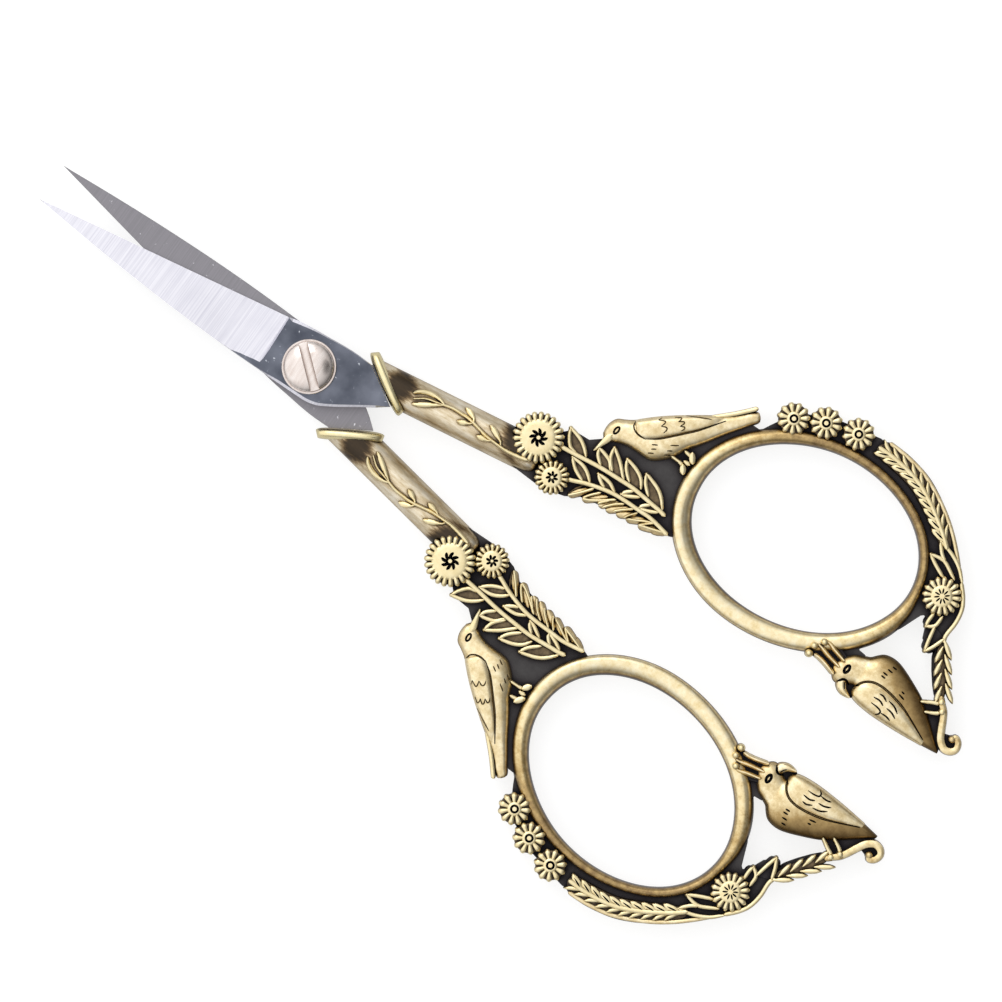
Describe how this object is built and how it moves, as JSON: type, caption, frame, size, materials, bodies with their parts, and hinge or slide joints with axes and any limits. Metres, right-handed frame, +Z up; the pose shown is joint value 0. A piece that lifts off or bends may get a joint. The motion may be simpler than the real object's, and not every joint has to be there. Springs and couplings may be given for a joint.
{
  "type": "embroidery scissors",
  "caption": "Small pointed embroidery scissors: ground steel blades on a slotted pivot screw, with cast antique-brass handles shaped as birds, flowers and leaf sprays round oval finger rings.",
  "frame": {"origin": "on the pivot axis, at the flat end of the screw on the table plane", "axes": "+X from the pivot to the finger rings, so the blades point along -X; +Y to the front handle's side; +Z up along the pivot axis, to the screw's head"},
  "size_m": [0.1259, 0.0664, 0.0058],
  "materials": {
    "blade_steel": "cross-ground face, dark unground plate at the pivot",
    "antique_brass": "antiqued, rubbed bright on the high relief and nearly black in the hollows",
    "nickel": "plated, lightly brushed dome"
  },
  "bodies": {
    "rear_half": {"rear_blade": "blade_steel", "rear_handle": "antique_brass", "pivot_screw": "nickel"},
    "front_half": {"front_blade": "blade_steel", "front_handle": "antique_brass"}
  },
  "joints": [
    {"name": "pivot", "type": "hinge", "parent": "rear_half", "child": "front_half", "pos_m": [0, 0, 0.0025], "axis": [0, 0, 1], "range_deg": [-7.2, 62]}
  ]
}
